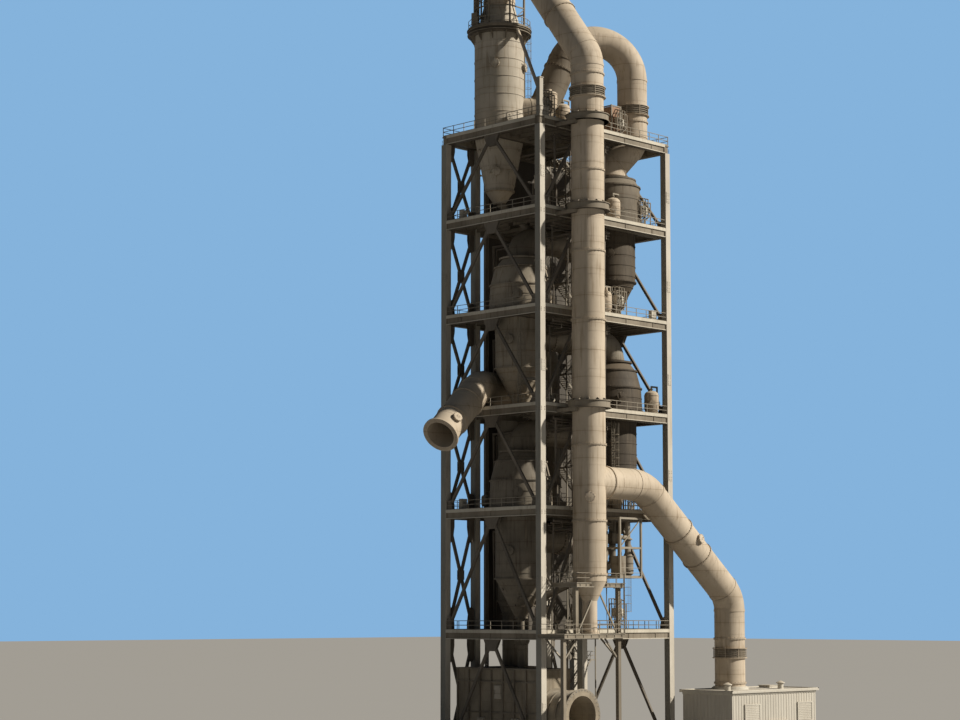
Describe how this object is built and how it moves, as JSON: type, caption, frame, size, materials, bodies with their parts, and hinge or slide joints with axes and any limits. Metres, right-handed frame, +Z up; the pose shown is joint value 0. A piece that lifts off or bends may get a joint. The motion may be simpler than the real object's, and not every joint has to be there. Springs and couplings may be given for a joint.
{
  "type": "scale model of a cement kiln preheater tower (1:10)",
  "caption": "Open steel frame tower with stacked cyclones, a calciner, arched ducts, a tall downcomer and a kiln inlet chamber, with an exhaust duct to a fan house.",
  "frame": {"origin": "centre of the footprint box at ground level", "axes": "+X along the long side of the frame towards the fan house, +Y from the downcomer to the back of the frame, +Z up"},
  "size_m": [4.801, 2.425, 9.254],
  "materials": {
    "footing_concrete": "concrete, weathered",
    "chamber_concrete": "concrete with a lining, dusty",
    "column_paint": "light beige-grey paint, weathered, a little rust",
    "frame_paint": "beige paint, dusty and weathered, a little rust",
    "rail_paint": "beige paint, weathered",
    "vessel_paint": "tan paint, dust streaks",
    "duct_paint": "tan paint, dust streaks, weld rings",
    "cladding": "pale grey profiled sheet",
    "sheeting_paint": "dark brown profiled sheet, dusty"
  },
  "bodies": {
    "root": {"footings": "footing_concrete", "columns": "column_paint", "floor_1": "frame_paint", "floor_2": "frame_paint", "floor_3": "frame_paint", "floor_4": "frame_paint", "floor_5": "frame_paint", "floor_6": "frame_paint", "bracing_front": "frame_paint", "bracing_back": "frame_paint", "bracing_left": "frame_paint", "bracing_right": "frame_paint", "railings_front": "rail_paint", "railings_back": "rail_paint", "railings_left": "rail_paint", "railings_right": "rail_paint", "back_sheeting": "sheeting_paint", "cyclone_1_body": "vessel_paint", "cyclone_1_roof": "vessel_paint", "cyclone_2_body": "vessel_paint", "cyclone_2_roof": "vessel_paint", "cyclone_3_body": "vessel_paint", "cyclone_3_roof": "vessel_paint", "cyclone_4_body": "vessel_paint", "cyclone_4_roof": "vessel_paint", "cyclone_5_body": "vessel_paint", "cyclone_5_roof": "vessel_paint", "top_ring_platform": "frame_paint", "gooseneck": "duct_paint", "downcomer": "duct_paint", "downcomer_supports": "frame_paint", "downcomer_hopper": "duct_paint", "hopper_platform": "frame_paint", "u_duct": "duct_paint", "transfer_duct_32": "duct_paint", "transfer_duct_43": "duct_paint", "transfer_duct_54": "duct_paint", "calciner": "vessel_paint", "calciner_loop": "duct_paint", "kiln_inlet_chamber": "chamber_concrete", "riser_chamber": "chamber_concrete", "tertiary_air_duct": "duct_paint", "meal_pipes": "duct_paint", "feed_pipe": "rail_paint", "exhaust_duct": "duct_paint", "fan_house": "cladding", "fan_house_roof": "cladding"}
  },
  "joints": []
}
